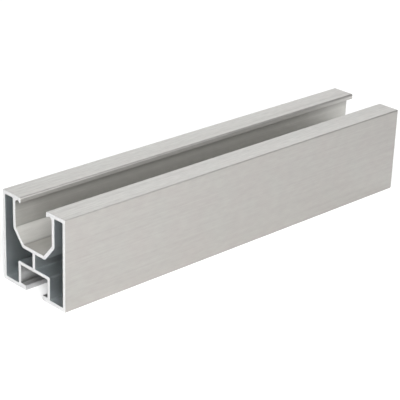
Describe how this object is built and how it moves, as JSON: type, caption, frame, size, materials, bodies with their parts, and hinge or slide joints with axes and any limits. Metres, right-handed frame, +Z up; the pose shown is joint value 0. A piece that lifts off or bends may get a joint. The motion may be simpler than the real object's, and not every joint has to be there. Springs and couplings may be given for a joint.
{
  "type": "aluminium mounting rail profile",
  "caption": "Straight length of hollow square aluminium extrusion with a lipped channel along its top and a bolt slot along its bottom, to clamp and bolt parts along it.",
  "frame": {"origin": "middle of the underside", "axes": "+X along the length, +Y across the width, +Z up out of the lipped channel"},
  "size_m": [0.2, 0.04, 0.04],
  "materials": {
    "anodised_aluminium": "satin clear anodised, sawn ends"
  },
  "bodies": {
    "root": {"rail_profile": "anodised_aluminium"}
  },
  "joints": []
}
